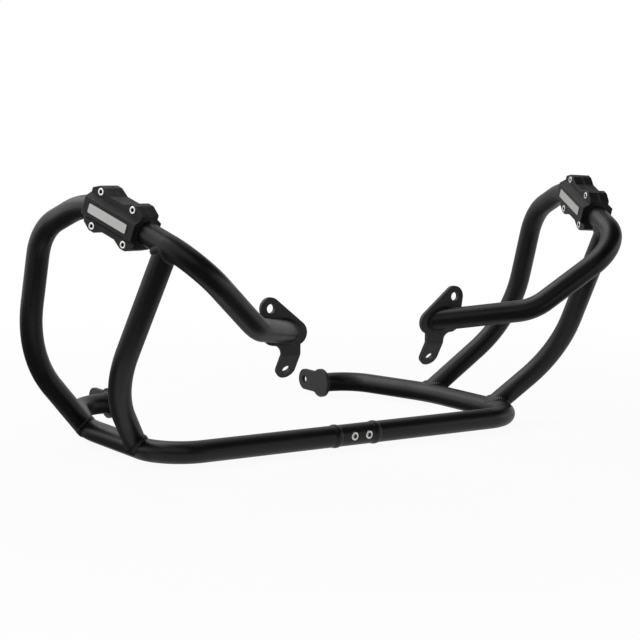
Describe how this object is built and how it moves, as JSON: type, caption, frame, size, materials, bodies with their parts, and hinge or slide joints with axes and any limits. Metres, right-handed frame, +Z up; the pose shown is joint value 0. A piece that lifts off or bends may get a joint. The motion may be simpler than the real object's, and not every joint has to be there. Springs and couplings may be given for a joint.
{
  "type": "motorcycle crash bars",
  "caption": "Tubular engine guard for a motorcycle: two mirrored welded frames joined under the engine, with bracket plates and a clamp-on slider pad on each side.",
  "frame": {"origin": "under the middle of the whole object, on the surface it stands on, level with the lowest edge of the rear brackets", "axes": "+X across the bike to the right frame, -Y towards the front wheel, +Z up"},
  "size_m": [0.7204, 0.4998, 0.3122],
  "materials": {
    "coated_steel": "satin black powder coat on steel tube and plate",
    "moulded_black": "black moulded plastic with a fine grain",
    "plain_steel": "bright stainless screws and nuts",
    "badge_grey": "thin grey metal plate, left plain"
  },
  "bodies": {
    "root": {"coupling_bolts": "plain_steel", "front_coupling": "coated_steel", "left_brace_foot_weld": "coated_steel", "left_brace_top_weld": "coated_steel", "left_brace_tube": "coated_steel", "left_coupling_weld": "coated_steel", "left_hoop_foot_weld": "coated_steel", "left_hoop_tube": "coated_steel", "left_lower_tube": "coated_steel", "left_pad_badge": "badge_grey", "left_pad_bolts": "plain_steel", "left_pad_inner": "moulded_black", "left_pad_nuts": "plain_steel", "left_pad_outer": "moulded_black", "left_rear_bracket": "coated_steel", "left_rear_bracket_weld": "coated_steel", "left_upper_bracket": "coated_steel", "left_upper_bracket_weld": "coated_steel", "rear_coupling": "coated_steel", "right_brace_foot_weld": "coated_steel", "right_brace_top_weld": "coated_steel", "right_brace_tube": "coated_steel", "right_coupling_weld": "coated_steel", "right_hoop_foot_weld": "coated_steel", "right_hoop_tube": "coated_steel", "right_lower_tube": "coated_steel", "right_pad_badge": "badge_grey", "right_pad_bolts": "plain_steel", "right_pad_inner": "moulded_black", "right_pad_nuts": "plain_steel", "right_pad_outer": "moulded_black", "right_rear_bracket": "coated_steel", "right_rear_bracket_weld": "coated_steel", "right_upper_bracket": "coated_steel", "right_upper_bracket_weld": "coated_steel"}
  },
  "joints": []
}
